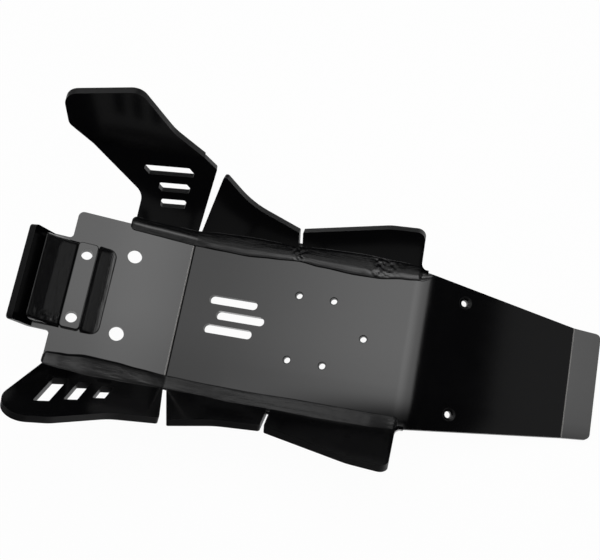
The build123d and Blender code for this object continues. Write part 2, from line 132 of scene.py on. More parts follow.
# Sections of a side bead: share of the way from the panel's toe to the wing's, and height over that line
RIGHT_SECTIONS = [
    (5, [(0, 0), (0.03, 0.3), (0.15, 0.25), (0.29, 0.15), (0.44, -0.1), (0.58, -0.85), (0.79, -0.65),
         (0.92, -0.45), (1, 0)]),
    (-25, [(0, 0), (0.04, 0.5), (0.14, 0.5), (0.27, -0.2), (0.38, -0.8), (0.56, -1.0), (0.79, -0.75),
           (0.92, -0.5), (1, 0)]),
]
LEFT_SECTIONS = [
    (25, [(0, 0), (0.04, 0.5), (0.11, 1.2), (0.22, 1.8), (0.5, 1.1), (0.8, 0.2), (0.93, -0.1), (1, 0)]),
    (-15, [(0, 0), (0.05, 0.1), (0.25, -0.25), (0.45, -0.65), (0.65, -1.0), (0.84, -1.3), (0.94, -0.85),
           (1, 0)]),
]
# Where the welder stopped and started again, and how far that reaches
RIGHT_RESTARTS = [(-115, 6), (-205, 12)]
LIP_RESTARTS = [(40, 6)]

# Sections of the two beads beside the clamp strip: place up the front panel and height over it
LIP_START = [(STRIP_FRONT, 3.6), (121.3, 4.4)]
LIP_CREASE = 138.8
LIP_TOE = 152.6
LIP_SLOPES = (0.455, 0.73)
STRIP_TOE = 79.2
STRIP_SECTION = [
    (STRIP_REAR, 7.8), (98.0, 6.6), (96.3, 5.1), (92.5, 3.7), (88.5, 2.3), (84.5, 1.1), (81.5, 0.6),
    (80.0, 0.4), (STRIP_TOE, 0.0),
]
LIP_BEAD_ENDS = (-46.5, 47.0)
STRIP_BEAD_ENDS = (-47.0, 47.0)
# How long the beads' rounded ends are, and the lip bead's ramp's, and how far one ring is from the next
END_LENGTH = 5.0
STRIP_END_LENGTH = 9.0
RAMP_END_LENGTH = 13.0
SIDE_STEP = 1.2
FRONT_STEP = 1.5
# Rings in a rounded end, as shares of its length, and the place beside the fold that stays free of rings
END_RINGS = (0.0, 0.02, 0.08, 0.18, 0.32, 0.5, 0.72)
FOLD_FREE = 2
# What is left of a side bead's width and of the strip bead's height at their very ends, and of the lip
# bead's ramp. The strip bead also draws back there, at the strip and at its toe.
END_WIDTH = 0.35
STRIP_END_HEIGHT = 0.3
RAMP_END_WIDTH = 2
STRIP_DRAW_BACK = 3
TOE_DRAW_BACK = 10
# Points from one corner of a section to the next
CORNER_POINTS = 3
# How fast a side bead's skin comes free of its toes, and how many points a front bead's takes
CROWN_FREEDOM = 8
HELD_POINTS = 4

# The beads' waves, ridges and lumps, in millimetres: the sizes that the panel doesn't offer, and how far
# apart their three noises are taken
RIPPLE_ACROSS = 12.0
STREAK_ALONG = 45.0
LUMP_SIZE = 3.0
NOISE_SHIFTS = (0.3, 7.3, 13.3)

# The photograph's camera: millimetres for the lens and the film, metres for its place
LENS = 54.58
FILM_WIDTH = 36
EYE = (-0.14295, 0.16916, 0.93382)
EYE_RIGHT = (-0.976347, -0.187381, -0.107867)
EYE_DOWN = (-0.155481, 0.955169, -0.251946)
EYE_FORWARD = (0.150241, -0.229216, -0.961710)

# The big softbox, in metres: its reach, and the share of its radiance along it and across it
BOX_ALONG = (-0.57, 1.3)
BOX_ACROSS = (-0.7, 0.5)
GLOW_ALONG = [(-0.57, 1.9), (1.3, 0.5), (-0.47, 2.0), (-0.19, 3.2), (-0.1, 2.75), (0.4, 1.5), (0.9, 0.8)]
GLOW_ACROSS = [(-0.7, 1.0), (0.5, 0.08), (-0.18, 1.0), (-0.03, 0.82), (0.2, 0.36)]
# Screens level with it, past the tail: reach along X and Y, and radiance
OVERHEAD_SCREENS = [
    ("rear_screen", (-1.3, -0.905), (-1, 1), 0.25),
    ("far_screen", (-3.2, -1.3), (-1, 1), 0.42),
]
# Upright screens at the sides: reach along X, place on Y, reach up Z, and share of the side radiance
SIDE_SCREENS = [
    ("right_screen", (-0.03, 1.5), -1.6, (0.6, 2.3), 1.0),
    ("right_rear_screen", (-1, -0.03), -1.6, (0.6, 2.3), 0.2),
    ("left_screen", (-1, 1.5), 1.3, (1.4, 2.4), 0.7),
]
# Dark cards on the table: reach along X and Y, and how high they lie
TABLE_CARDS = [
    ("right_card", (-0.2, 1.2), (-1.7, -0.35)),
    ("rear_card", (-2.2, -0.45), (-0.8, 0.8)),
    ("left_card", (0.05, 1.2), (0.15, 1.3)),
]
CARD_LIFT = 0.001
# The floor lies a little below the plate, and how much of what is seen of it is plain white
FLOOR_DROP = 0.0002
FLOOR_WHITE = 0.97
# The room of black cloth: its size, and how far it reaches below the floor
FLAG_ROOM = 8
FLAG_DROP = 0.1


def linear(hex_colour):
    """An sRGB hex colour as linear RGBA."""
    channels = [int(hex_colour[i:i + 2], 16) / 255 for i in (1, 3, 5)]
    curve = [c / 12.92 if c <= 0.04045 else ((c + 0.055) / 1.055) ** 2.4 for c in channels]
    return (*curve, 1.0)


def colour_property(name, description, hex_colour):
    """A colour that a user can change."""
    return bpy.props.FloatVectorProperty(
        name=name, description=description, subtype="COLOR", size=4, min=0, max=1,
        default=linear(hex_colour),
    )


def length_property(name, description, size, low, high):
    """A length that a user can change, given in millimetres and kept in metres."""
    return bpy.props.FloatProperty(
        name=name, description=description, unit="LENGTH", precision=5,
        default=size * MM, min=low * MM, max=high * MM,
    )


class PlasticFinish(bpy.types.PropertyGroup):
    """Colours of the plastic, and of the paler highlight painted along its creases."""
    skin_colour: colour_property("Sheet", "Rolled skin of the black sheet", "#050506")
    edge_colour: colour_property(
        "Cut edge", "Routed edge, where the cutter leaves the plastic greyer", "#0E0E0F")
    # The crease colour is not the plastic's own: it is a paler line painted along the two creases as their
    # highlight.
    crease_highlight_colour: colour_property("Crease", "Line along a crease, where the skin is stretched", "#8A8886")
    weld_colour: colour_property("Weld", "Extruded weld of the same plastic", "#09090A")


class BeadSizes(bpy.types.PropertyGroup):
    """Sizes of the weld beads."""
    sink: length_property("Sink", "How deep a bead is melted into the sheet", 0.45, 0.05, 1)
    ripple: length_property("Ripple", "Height of the slow waves along a bead", 0.3, 0, 2)
    ripple_pitch: length_property("Ripple pitch", "Length of the waves along a bead", 14, 1, 60)
    streak: length_property("Streak", "Height of the drawn-out ridges", 0.3, 0, 2)
    streak_width: length_property("Streak width", "Width of the drawn-out ridges", 3.2, 0.5, 10)
    restart: length_property("Restart", "Height of the lumps where a bead was restarted", 4.5, 0, 6)
    seed: bpy.props.IntProperty(name="Seed", description="Seed of the ripples", default=4, min=0)


class StudioSizes(bpy.types.PropertyGroup):
    """The studio around the plate."""
    floor_radius: bpy.props.FloatProperty(
        name="Floor radius", description="Radius of the pale floor", default=6.0, min=1, unit="LENGTH")
    floor_colour: colour_property("Floor", "Pale floor", "#F4F4F4")
    flag_colour: colour_property(
        "Flags", "Black cloth around the table, which keeps stray light off", "#1E1E20")
    lamp_height: bpy.props.FloatProperty(
        name="Lamp height", description="Height of the softbox over the plate", default=1.0, min=0.3,
        unit="LENGTH")
    side_radiance: bpy.props.FloatProperty(
        name="Side screens", description="Radiance of the screens at the sides", default=1.0, min=0, max=4)


def panel_frame(origin, angle):
    """Origin, direction along a panel and its inner normal, for a panel turned up by an angle."""
    along = Vector((math.cos(angle), 0, math.sin(angle)))
    normal = Vector((-math.sin(angle), 0, math.cos(angle)))
    return Vector(origin), along, normal


BASE = panel_frame((FOLD_X, 0, 0), 0)
FRONT = panel_frame((FOLD_X, 0, 0), FRONT_RISE)


def on_panel(panel, along, across, height=0.0):
    """A point in millimetres from its place along, across and above a panel."""
    origin, direction, normal = panel
    return origin + direction * along + Vector((0, across, 0)) + normal * height


def wing_up(panel, side):
    """The direction up a side wing."""
    _, _, normal = panel
    return Vector((0, side * math.cos(WING_FLARE), 0)) + normal * math.sin(WING_FLARE)


def wing_normal(panel, side):
    """The direction out of a side wing's inner face."""
    _, _, normal = panel
    return normal * math.cos(WING_FLARE) - Vector((0, side * math.sin(WING_FLARE), 0))


def add_node(tree, kind, inputs=None, **settings):
    """Adds a node with its settings, its values and its links."""
    node = tree.nodes.new(kind)
    for name, value in settings.items():
        setattr(node, name, value)
    for name, value in (inputs or {}).items():
        socket = node.inputs[name]
        if isinstance(value, bpy.types.NodeSocket):
            tree.links.new(value, socket)
        else:
            socket.default_value = value
    return node


def new_material(name):
    """An empty material and its node tree."""
    material = bpy.data.materials.new(name)
    material.use_nodes = True
    material.node_tree.nodes.clear()
    return material, material.node_tree


def finish_plastic(tree, colour, roughness, normal, gloss=0.5):
    """The plastic's own shader: dyed through, clear of metal, with the gloss of polyethylene."""
    shader = add_node(tree, "ShaderNodeBsdfPrincipled", {
        "Base Color": colour, "Roughness": roughness, "IOR": POLYETHYLENE_IOR,
        "Specular IOR Level": gloss, "Normal": normal,
    })
    add_node(tree, "ShaderNodeOutputMaterial", {"Surface": shader.outputs["BSDF"]})


def rolled_sheet(colour, crease_highlight_colour):
    """Black polyethylene sheet, extruded and rolled: a soft gloss with a faint long wave and fine grain.
    It has sunk a little beside the left weld, and a paler line is painted along its two creases as their
    highlight."""
    material, tree = new_material("Rolled black polyethylene sheet")
    point = add_node(tree, "ShaderNodeTexCoord").outputs["Object"]
    place = add_node(tree, "ShaderNodeSeparateXYZ", {"Vector": point})

    beside = add_node(tree, "ShaderNodeMapRange", {
        "Value": place.outputs["Y"],
        "From Min": HOLLOW_ACROSS[0] * MM, "From Max": HOLLOW_ACROSS[1] * MM})
    sinking = add_node(tree, "ShaderNodeMath", {0: beside.outputs["Result"], 1: 2.0}, operation="POWER")
    on_base = add_node(tree, "ShaderNodeMapRange", {
        "Value": place.outputs["X"],
        "From Min": HOLLOW_ALONG[0] * MM, "From Max": HOLLOW_ALONG[1] * MM, "To Min": 1.0, "To Max": 0.0})
    hollow = add_node(tree, "ShaderNodeMath", {
        0: sinking.outputs[0], 1: on_base.outputs["Result"]}, operation="MULTIPLY")
    past_bend = add_node(tree, "ShaderNodeMapRange", {
        "Value": place.outputs["X"], "From Min": BEND_ALONG[0] * MM, "From Max": BEND_ALONG[1] * MM,
    }, interpolation_type="SMOOTHSTEP")
    wave = add_node(tree, "ShaderNodeTexNoise", {
        "Vector": point, "Scale": 1 / (WAVE_LENGTH * MM), "Detail": 1.0})
    grain = add_node(tree, "ShaderNodeTexNoise", {
        "Vector": point, "Scale": 1 / (GRAIN_SIZE * MM), "Detail": 2.0})
    sunk = add_node(tree, "ShaderNodeBump", {
        "Height": hollow.outputs[0], "Distance": HOLLOW_DEPTH * MM, "Strength": 1.0}, invert=True)
    normal = sunk.outputs["Normal"]
    for height, size, strength in (
            (past_bend.outputs["Result"], BEND_HEIGHT, 1.0),
            (wave.outputs["Fac"], WAVE_HEIGHT, 0.6),
            (grain.outputs["Fac"], GRAIN_HEIGHT, 0.35)):
        bump = add_node(tree, "ShaderNodeBump", {
            "Height": height, "Distance": size * MM, "Strength": strength, "Normal": normal})
        normal = bump.outputs["Normal"]
    dull = add_node(tree, "ShaderNodeMapRange", {
        "Value": wave.outputs["Fac"], "To Min": SKIN_ROUGHNESS[0], "To Max": SKIN_ROUGHNESS[1]})

    # A paler line painted along each crease as its highlight, stopping short of the sides.
    highlight_band = 0.0
    for crease in CREASES_X:
        near = add_node(tree, "ShaderNodeMath", {
            0: place.outputs["X"], 1: crease * MM, 2: CREASE_HALF_WIDTH * MM}, operation="COMPARE")
        either = add_node(tree, "ShaderNodeMath", {0: near.outputs[0], 1: highlight_band}, operation="MAXIMUM")
        highlight_band = either.outputs[0]
    out = add_node(tree, "ShaderNodeMath", {0: place.outputs["Y"]}, operation="ABSOLUTE")
    inside = add_node(tree, "ShaderNodeMath", {0: out.outputs[0], 1: CREASE_END * MM}, operation="LESS_THAN")
    line = add_node(tree, "ShaderNodeMath", {0: highlight_band, 1: inside.outputs[0]}, operation="MULTIPLY")
    # The skin's colour, with the painted crease highlight mixed in.
    dyed = add_node(tree, "ShaderNodeMix", {"Factor": line.outputs[0], 6: colour, 7: crease_highlight_colour},
                    data_type="RGBA")
    finish_plastic(tree, dyed.outputs[2], dull.outputs["Result"], normal)
    return material


def routed_edge(colour):
    """Cut edge of the same sheet: the router leaves it satin and a little greyer."""
    material, tree = new_material("Routed polyethylene edge")
    point = add_node(tree, "ShaderNodeTexCoord").outputs["Object"]
    chatter = add_node(tree, "ShaderNodeTexNoise", {
        "Vector": point, "Scale": 1 / (CHATTER_SIZE * MM), "Detail": 3.0})
    bump = add_node(tree, "ShaderNodeBump", {
        "Height": chatter.outputs["Fac"], "Distance": CHATTER_HEIGHT * MM, "Strength": 0.5})
    finish_plastic(tree, colour, EDGE_ROUGHNESS, bump.outputs["Normal"], EDGE_GLOSS)
    return material


def extruded_weld(colour):
    """Weld bead, laid hot from an extruder: glossy, with drawn-out streaks along it."""
    material, tree = new_material("Extruded polyethylene weld")
    along = add_node(tree, "ShaderNodeAttribute", attribute_name="bead_along").outputs["Fac"]
    across = add_node(tree, "ShaderNodeAttribute", attribute_name="bead_across").outputs["Fac"]
    place = add_node(tree, "ShaderNodeCombineXYZ", {"X": along, "Y": across})
    stretched = add_node(tree, "ShaderNodeMapping", {
        "Vector": place.outputs["Vector"], "Scale": (*FINE_STREAKS, 1)})
    streak = add_node(tree, "ShaderNodeTexNoise", {
        "Vector": stretched.outputs["Vector"], "Scale": 1.0, "Detail": 3.0})
    bump = add_node(tree, "ShaderNodeBump", {
        "Height": streak.outputs["Fac"], "Distance": FINE_STREAK_HEIGHT * MM, "Strength": 0.5})
    dull = add_node(tree, "ShaderNodeMapRange", {
        "Value": streak.outputs["Fac"], "To Min": WELD_ROUGHNESS[0], "To Max": WELD_ROUGHNESS[1]})
    finish_plastic(tree, colour, dull.outputs["Result"], bump.outputs["Normal"])
    return material


def merged_copy(node, name):
    """A copy of a CAD node as one closed skin, shaded as the solid is."""
    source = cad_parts[node].data
    given = [corner.vector.copy() for corner in source.corner_normals]
    places = KDTree(len(given))
    for i, loop in enumerate(source.loops):
        places.insert(source.vertices[loop.vertex_index].co, i)
    places.balance()
    mesh = source.copy()
    mesh.name = name
    builder = bmesh.new()
    builder.from_mesh(mesh)
    bmesh.ops.remove_doubles(builder, verts=builder.verts, dist=ONE_POINT * MM)
    builder.to_mesh(mesh)
    builder.free()
    normals = []
    for face in mesh.polygons:
        for vertex in face.vertices:
            around = places.find_range(mesh.vertices[vertex].co, NORMAL_REACH * MM)
            near = [given[i] for _, i, _ in around]
            normals.append(tuple(max(near, key=face.normal.dot, default=face.normal)))
    mesh.normals_split_custom_set(normals)
    mesh.materials.clear()
    piece = bpy.data.objects.new(name, mesh)
    bpy.context.scene.collection.objects.link(piece)
    return piece


def mark_sides(mesh, normal, edge_index):
    """Gives the edge's material to every face that doesn't lie along a flat piece."""
    for face in mesh.polygons:
        face.material_index = 0 if abs(face.normal.dot(normal)) > ALONG_PIECE else edge_index


def mark_cut_edges(mesh, edge_index):
    """Gives the edge's material to every face that doesn't have the sheet's thickness behind it."""
    tree = BVHTree.FromPolygons([v.co for v in mesh.vertices], [p.vertices[:] for p in mesh.polygons])
    for face in mesh.polygons:
        start = face.center - face.normal * RAY_START * MM
        _, _, _, depth = tree.ray_cast(start, -face.normal, RAY_REACH * MM)
        face.material_index = 0 if depth and depth < SKIN_DEPTH * MM else edge_index


def set_piece(piece, node):
    """Makes a piece stand for a CAD node on the plate's one body."""
    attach(piece, "root")
    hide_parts(node)


class OBJECT_OT_skid_sheet(bpy.types.Operator):
    """Give the folded sheet its rolled skin and its routed edges"""
    bl_idname = "object.skid_sheet"
    bl_label = "Folded sheet"

    def execute(self, context):
        finish = context.scene.plastic_finish
        sheet = merged_copy("skid_sheet", "folded_sheet")
        sheet.data.materials.append(rolled_sheet(finish.skin_colour, finish.crease_highlight_colour))
        sheet.data.materials.append(routed_edge(finish.edge_colour))
        mark_cut_edges(sheet.data, 1)
        set_piece(sheet, "skid_sheet")
        return {"FINISHED"}


class OBJECT_OT_clamp_strip(bpy.types.Operator):
    """Cut the clamp strip from the sheet's own plastic"""
    bl_idname = "object.clamp_strip"
    bl_label = "Clamp strip"

    def execute(self, context):
        strip = merged_copy("spacer_strip", "clamp_strip")
        for material in bpy.data.objects["folded_sheet"].data.materials:
            strip.data.materials.append(material)
        mark_sides(strip.data, FRONT[2], 1)
        set_piece(strip, "spacer_strip")
        return {"FINISHED"}


def eased(share):
    """A share from 0 to 1 that leaves and arrives slowly."""
    return share * share * (3 - 2 * share)


def follow(points, at):
    """The value at a place on a smooth line through (place, value) points, both in millimetres."""
    points = sorted(points)
    if at <= points[0][0]:
        return points[0][1]
    for (x0, y0), (x1, y1) in zip(points, points[1:]):
        if at <= x1:
            return y0 + (y1 - y0) * eased((at - x0) / (x1 - x0))
    return points[-1][1]


def rounded_end(distance, length):
    """How full a bead is near its end, as a quarter round: 0 at the end and 1 from a length on."""
    if distance >= length:
        return 1.0
    rest = 1 - max(distance, 0) / length
    return math.sqrt(1 - rest * rest)


def bead_places(start, end, step, end_length):
    """Places along a bead, closer together in its rounded ends."""
    near = [end_length * share for share in END_RINGS]
    count = round((end - start - 2 * end_length) / step)
    middle = [start + end_length + (end - start - 2 * end_length) * i / count for i in range(count + 1)]
    return [start + d for d in near] + middle + [end - d for d in reversed(near)]


def restart_share(restarts, place):
    """How rough a bead is at a place, from 0 to 1."""
    return max([math.exp(-((place - at) / reach) ** 2) for at, reach in restarts] or [0.0])


def section_at(sections, place):
    """A side bead's section at a place, blended between the front's and the base's."""
    (front, ahead), (base, behind) = sections
    share = eased(min(1.0, max(0.0, (place - base) / (front - base))))
    return through([Vector(b).lerp(Vector(a), share) for a, b in zip(ahead, behind)])


def fold_ring(side, place, inward, height, section, sink, fullness):
    """A side bead's points at one place, over the crown from panel to wing and back under it, and how free
    each is to be moved: not at the toes, and fully over the crown."""
    panel = FRONT if place > 0 else BASE
    corner = on_panel(panel, place, side * HALF_WIDTH)
    up = wing_up(panel, side)
    across = wing_normal(panel, side)
    normal = panel[2]
    if place == 0:
        up = (wing_up(BASE, side) + wing_up(FRONT, side)).normalized()
        across = (wing_normal(BASE, side) + wing_normal(FRONT, side)).normalized()
        normal = (BASE[2] + FRONT[2]).normalized()
    outward = (normal + across).normalized()
    toe = corner + Vector((0, -side * inward, 0))
    wing_toe = corner + up * height
    top = [toe.lerp(wing_toe, share) + outward * fullness * rise for share, rise in section]
    under = [wing_toe - across * sink, corner - outward * sink, toe - normal * sink]
    free = [fullness * min(1.0, CROWN_FREEDOM * share * (1 - share)) for share, _ in section]
    return top + under, free + [0.0] * len(under)


def side_bead(name, side, panel_toe, wing_toe, sections, restarts, sink):
    """The bead along one side, over the front fold, with a ring right on the fold."""
    front_end, rear_end = panel_toe[0][0], panel_toe[-1][0]
    places = [at for at in bead_places(rear_end, front_end, SIDE_STEP, END_LENGTH) if abs(at) > FOLD_FREE]
    places = sorted(places + [0.0])
    rings, free, rough = [], [], []
    for place in places:
        fullness = rounded_end(min(front_end - place, place - rear_end), END_LENGTH)
        spread = END_WIDTH + (1 - END_WIDTH) * fullness
        ring, loose = fold_ring(
            side, place, follow(panel_toe, place) * spread, follow(wing_toe, place) * spread,
            section_at(sections, place), sink, fullness)
        rings.append(ring)
        free.append(loose)
        rough.append(restart_share(restarts, place))
    return bead_mesh(name, rings, places, free, rough)


def through(points):
    """Points on a smooth line through corners, each in two numbers."""
    ends = [points[0]] + list(points) + [points[-1]]
    line = []
    for i in range(1, len(ends) - 2):
        a, b, c, d = (Vector(q) for q in ends[i - 1:i + 3])
        for j in range(CORNER_POINTS):
            t = j / CORNER_POINTS
            line.append((2 * b + (c - a) * t + (2 * a - 5 * b + 4 * c - d) * t * t
                         + (3 * b - a - 3 * c + d) * t * t * t) / 2)
    line.append(Vector(points[-1]))
    return line


def lip_section(crease):
    """The lip bead's section: an even ramp up to its crease, and a steeper one from there to the lip."""
    corners = list(LIP_START)
    for end, slope in zip((crease, LIP_TOE), LIP_SLOPES):
        start, height = corners[-1]
        corners += [(start + (end - start) * share, height + (end - start) * share * slope)
                    for share in (0.25, 0.5, 0.75, 1.0)]
    return through(corners)


def lip_ring(inset, full, sink):
    """The lip bead's crown and underside: its ramp is round at both ends, and its top runs up the lip."""
    ramp = LIP_START[-1][0] + RAMP_END_WIDTH
    crease = ramp + (LIP_CREASE - ramp) * rounded_end(inset, RAMP_END_LENGTH)
    top = [(s if s < LIP_FOLD else LIP_FOLD + (s - LIP_FOLD) * full, h * full)
           for s, h in lip_section(crease)]
    rear = STRIP_FRONT - sink
    return top, [(top[-1][0] + sink, top[-1][1]), (LIP_FOLD, -sink), (rear, -sink), (rear, top[0][1])]


def strip_ring(_, full, sink):
    """The crown and underside of the bead that runs down from the clamp strip's rear side."""
    back = STRIP_REAR - STRIP_DRAW_BACK * (1 - full)
    reach = (back - STRIP_TOE - TOE_DRAW_BACK * (1 - full)) / (STRIP_REAR - STRIP_TOE)
    top = [(back - (STRIP_REAR - s) * reach, h * (STRIP_END_HEIGHT + (1 - STRIP_END_HEIGHT) * full))
           for s, h in through(STRIP_SECTION)]
    return top, [(top[-1][0], -sink), (back + sink, -sink), (back + sink, top[0][1])]


def front_bead(name, ends, end_length, ring, restarts, sink):
    """A bead across the front panel, held at its toes and free over its crown."""
    low, high = ends
    places = bead_places(low, high, FRONT_STEP, end_length)
    rings, free, rough = [], [], []
    for place in places:
        inset = min(place - low, high - place)
        full = rounded_end(inset, end_length)
        top, under = ring(inset, full, sink)
        rings.append([on_panel(FRONT, s, place, h) for s, h in top + under])
        edge = len(top) - 1
        free.append([full * min(1.0, min(i, edge - i) / HELD_POINTS) for i in range(len(top))]
                    + [0.0] * len(under))
        rough.append(restart_share(restarts, place))
    return bead_mesh(name, rings, places, free, rough)


def bead_mesh(name, rings, places, free, rough):
    """A closed bead through rings of points in millimetres, with its place along and across kept on it."""
    mesh = bpy.data.meshes.new(name)
    builder = bmesh.new()
    layers = {key: builder.verts.layers.float.new(key)
              for key in ("bead_along", "bead_across", "bead_free", "bead_restart")}
    loops = []
    for ring, place, loose, lumps in zip(rings, places, free, rough):
        loop = []
        width = 0.0
        for i, point in enumerate(ring):
            width += (point - ring[i - 1]).length if i else 0.0
            vert = builder.verts.new(point * MM)
            vert[layers["bead_along"]] = place
            vert[layers["bead_across"]] = width
            vert[layers["bead_free"]] = loose[i]
            vert[layers["bead_restart"]] = lumps
            loop.append(vert)
        loops.append(loop)
    for first, second in zip(loops, loops[1:]):
        for i in range(len(first)):
            j = (i + 1) % len(first)
            builder.faces.new((first[i], first[j], second[j], second[i]))
    builder.faces.new(loops[0][::-1])
    builder.faces.new(loops[-1])
    if not all(edge.is_manifold for edge in builder.edges):
        raise RuntimeError(f"{name} isn't closed")
    bmesh.ops.recalc_face_normals(builder, faces=builder.faces)
    for face in builder.faces:
        face.smooth = True
    builder.to_mesh(mesh)
    builder.free()
    piece = bpy.data.objects.new(name, mesh)
    bpy.context.scene.collection.objects.link(piece)
    return piece


def bead_surface():
    """A tree that gives a smooth bead its waves, drawn-out ridges and lumps, in millimetres."""
    tree = bpy.data.node_groups.new("bead_surface", "GeometryNodeTree")
    tree.interface.new_socket("Geometry", in_out="OUTPUT", socket_type="NodeSocketGeometry")
    tree.interface.new_socket("Geometry", in_out="INPUT", socket_type="NodeSocketGeometry")
    for name in ("Ripple", "Ripple pitch", "Streak", "Streak width", "Restart", "Seed"):
        tree.interface.new_socket(name, in_out="INPUT", socket_type="NodeSocketFloat")
    tree.interface.new_socket("Material", in_out="INPUT", socket_type="NodeSocketMaterial")
    given = add_node(tree, "NodeGroupInput").outputs

    along, across, free, restart = (
        add_node(tree, "GeometryNodeInputNamedAttribute", {"Name": name}, data_type="FLOAT").outputs[0]
        for name in ("bead_along", "bead_across", "bead_free", "bead_restart"))
    lumps = add_node(tree, "ShaderNodeMath", {0: given["Restart"], 1: restart}, operation="MULTIPLY")
    height = 0.0
    for size, pitch_along, pitch_across, shift in (
            (given["Ripple"], given["Ripple pitch"], RIPPLE_ACROSS, NOISE_SHIFTS[0]),
            (given["Streak"], STREAK_ALONG, given["Streak width"], NOISE_SHIFTS[1]),
            (lumps.outputs[0], LUMP_SIZE, LUMP_SIZE, NOISE_SHIFTS[2])):
        x = add_node(tree, "ShaderNodeMath", {0: along, 1: pitch_along}, operation="DIVIDE")
        y = add_node(tree, "ShaderNodeMath", {0: across, 1: pitch_across}, operation="DIVIDE")
        z = add_node(tree, "ShaderNodeMath", {0: given["Seed"], 1: shift}, operation="ADD")
        place = add_node(tree, "ShaderNodeCombineXYZ", {
            "X": x.outputs[0], "Y": y.outputs[0], "Z": z.outputs[0]})
        noise = add_node(tree, "ShaderNodeTexNoise", {
            "Vector": place.outputs[0], "Scale": 1.0, "Detail": 1.0})
        centred = add_node(tree, "ShaderNodeMath", {0: noise.outputs["Fac"], 1: 0.5}, operation="SUBTRACT")
        height = add_node(tree, "ShaderNodeMath", {0: centred.outputs[0], 1: size, 2: height},
                          operation="MULTIPLY_ADD").outputs[0]
    loose = add_node(tree, "ShaderNodeMath", {0: height, 1: free}, operation="MULTIPLY")
    metres = add_node(tree, "ShaderNodeMath", {0: loose.outputs[0], 1: MM}, operation="MULTIPLY")
    normal = add_node(tree, "GeometryNodeInputNormal").outputs[0]
    offset = add_node(tree, "ShaderNodeVectorMath", {0: normal, "Scale": metres.outputs[0]},
                      operation="SCALE")
    moved = add_node(tree, "GeometryNodeSetPosition", {
        "Geometry": given["Geometry"], "Offset": offset.outputs[0]})
    real = add_node(tree, "GeometryNodeRealizeInstances", {"Geometry": moved.outputs[0]})
    dressed = add_node(tree, "GeometryNodeSetMaterial", {
        "Geometry": real.outputs[0], "Material": given["Material"]})
    add_node(tree, "NodeGroupOutput", {"Geometry": dressed.outputs[0]})
    return tree


def bake_surface(piece, tree, values):
    """Runs a tree on a piece with its named inputs and keeps the result as a plain mesh."""
    modifier = piece.modifiers.new(tree.name, "NODES")
    modifier.node_group = tree
    for item in tree.interface.items_tree:
        if item.name in values and item.in_out == "INPUT":
            modifier[item.identifier] = values[item.name]
    graph = bpy.context.evaluated_depsgraph_get()
    mesh = bpy.data.meshes.new_from_object(piece.evaluated_get(graph), depsgraph=graph)
    piece.modifiers.remove(modifier)
    old = piece.data
    piece.data = mesh
    bpy.data.meshes.remove(old)
    mesh.name = piece.name


class OBJECT_OT_weld_beads(bpy.types.Operator):
    """Lay the two side beads and the two beads beside the clamp strip"""
    bl_idname = "object.weld_beads"
    bl_label = "Weld beads"

    def execute(self, context):
        sizes = context.scene.bead_sizes
        weld = extruded_weld(context.scene.plastic_finish.weld_colour)
        sink = sizes.sink / MM
        right = side_bead(
            "bead_right", -1, RIGHT_PANEL_TOE, RIGHT_WING_TOE, RIGHT_SECTIONS, RIGHT_RESTARTS, sink)
        left = side_bead("bead_left", 1, LEFT_PANEL_TOE, LEFT_WING_TOE, LEFT_SECTIONS, [], sink)
        lip = front_bead("bead_front_lip", LIP_BEAD_ENDS, END_LENGTH, lip_ring, LIP_RESTARTS, sink)
        strip = front_bead("bead_spacer_rear", STRIP_BEAD_ENDS, STRIP_END_LENGTH, strip_ring, [], sink)
        tree = bead_surface()
        nodes = ("weld_right", "weld_left", "weld_front_lip", "weld_spacer_rear")
        for i, (piece, node) in enumerate(zip((right, left, lip, strip), nodes)):
            bake_surface(piece, tree, {
                "Ripple": sizes.ripple / MM, "Ripple pitch": sizes.ripple_pitch / MM,
                "Streak": sizes.streak / MM, "Streak width": sizes.streak_width / MM,
                "Restart": sizes.restart / MM, "Seed": float(sizes.seed + 3 * i), "Material": weld,
            })
            set_piece(piece, node)
        return {"FINISHED"}


def camera():
    """The photograph's camera: 35 mm format, 54.6 mm lens, about 0.95 m over the plate."""
    lens = bpy.data.cameras.new("photo_camera")
    lens.lens = LENS
    lens.sensor_width = FILM_WIDTH
    lens.sensor_fit = "HORIZONTAL"
    lens.clip_start = 0.01
    eye = bpy.data.objects.new("photo_camera", lens)
    turn = Matrix((EYE_RIGHT, -Vector(EYE_DOWN), -Vector(EYE_FORWARD))).transposed().to_4x4()
    eye.matrix_world = Matrix.Translation(EYE) @ turn
    bpy.context.scene.collection.objects.link(eye)
    bpy.context.scene.camera = eye


def softbox_cloth():
    """Cloth of the big softbox: bright in the middle and falling off to both sides of its lamp."""
    material, tree = new_material("Softbox cloth")
    place = add_node(tree, "ShaderNodeSeparateXYZ", {
        "Vector": add_node(tree, "ShaderNodeTexCoord").outputs["Object"]})
    glow = []
    for axis, (low, high), stops in (("X", BOX_ALONG, GLOW_ALONG), ("Y", BOX_ACROSS, GLOW_ACROSS)):
        share = add_node(tree, "ShaderNodeMapRange", {
            "Value": place.outputs[axis], "From Min": low, "From Max": high})
        ramp = add_node(tree, "ShaderNodeValToRGB", {"Fac": share.outputs["Result"]})
        ramp.color_ramp.interpolation = "EASE"
        for i, (at, level) in enumerate(stops):
            stop = ramp.color_ramp.elements[i] if i < 2 else ramp.color_ramp.elements.new(1.0)
            stop.position = (at - low) / (high - low)
            stop.color = (level, level, level, 1)
        glow.append(ramp.outputs["Color"])
    level = add_node(tree, "ShaderNodeMath", {0: glow[0], 1: glow[1]}, operation="MULTIPLY")
    light = add_node(tree, "ShaderNodeEmission", {"Strength": level.outputs[0]})
    add_node(tree, "ShaderNodeOutputMaterial", {"Surface": light.outputs[0]})
    return material


